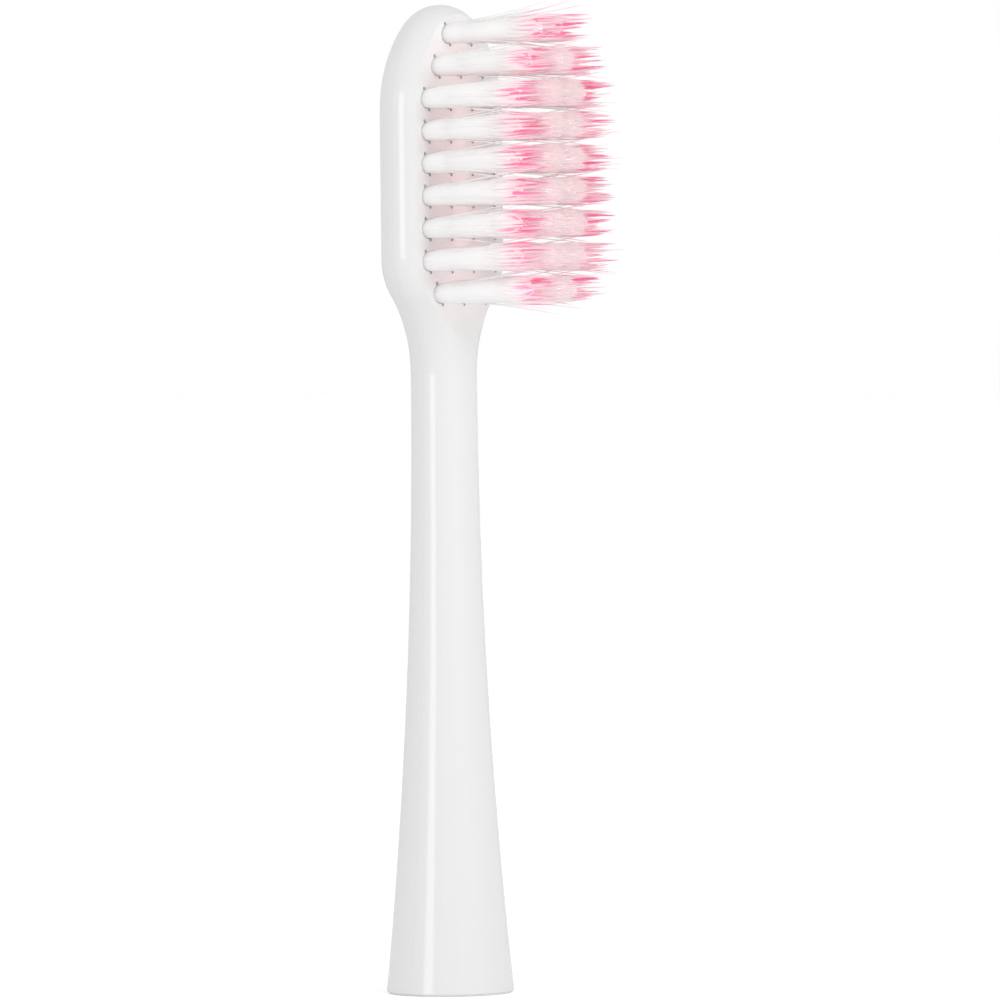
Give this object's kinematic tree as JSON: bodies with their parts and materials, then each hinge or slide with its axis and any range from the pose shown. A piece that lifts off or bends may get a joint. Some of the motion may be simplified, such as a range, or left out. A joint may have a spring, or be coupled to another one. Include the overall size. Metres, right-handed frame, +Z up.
{
  "type": "electric toothbrush head",
  "caption": "Slim push-on head for an electric toothbrush: a flat oval paddle of anchored bristle tufts on a round neck that flares down to a socketed base.",
  "frame": {"origin": "centre of the open base, on the axis of the socket and neck", "axes": "+Z up the neck to the tip of the head, +X the way the bristles point, Y across the head"},
  "size_m": [0.018, 0.0116, 0.074],
  "materials": {
    "body_plastic": "glossy white moulded plastic",
    "pink_filament": "white filament with tapered ends dyed pink",
    "pale_filament": "white filament with tapered ends of a faint pink",
    "anchor_metal": "flat wire, pressed in and out of sight"
  },
  "bodies": {
    "root": {"brush_body": "body_plastic", "tuft_row1_a": "pink_filament", "tuft_row1_b": "pink_filament", "tuft_row2_a": "pink_filament", "tuft_row2_b": "pale_filament", "tuft_row2_c": "pink_filament", "tuft_row3_a": "pink_filament", "tuft_row3_b": "pale_filament", "tuft_row3_c": "pale_filament", "tuft_row3_d": "pink_filament", "tuft_row4_a": "pink_filament", "tuft_row4_b": "pale_filament", "tuft_row4_c": "pale_filament", "tuft_row4_d": "pink_filament", "tuft_row5_a": "pink_filament", "tuft_row5_b": "pale_filament", "tuft_row5_c": "pale_filament", "tuft_row5_d": "pink_filament", "tuft_row6_a": "pink_filament", "tuft_row6_b": "pale_filament", "tuft_row6_c": "pale_filament", "tuft_row6_d": "pink_filament", "tuft_row7_a": "pink_filament", "tuft_row7_b": "pale_filament", "tuft_row7_c": "pale_filament", "tuft_row7_d": "pink_filament", "tuft_row8_a": "pink_filament", "tuft_row8_b": "pale_filament", "tuft_row8_c": "pale_filament", "tuft_row8_d": "pink_filament", "tuft_row9_a": "pink_filament", "tuft_row9_b": "pale_filament", "tuft_row9_c": "pink_filament", "tuft_anchors": "anchor_metal"}
  },
  "joints": []
}
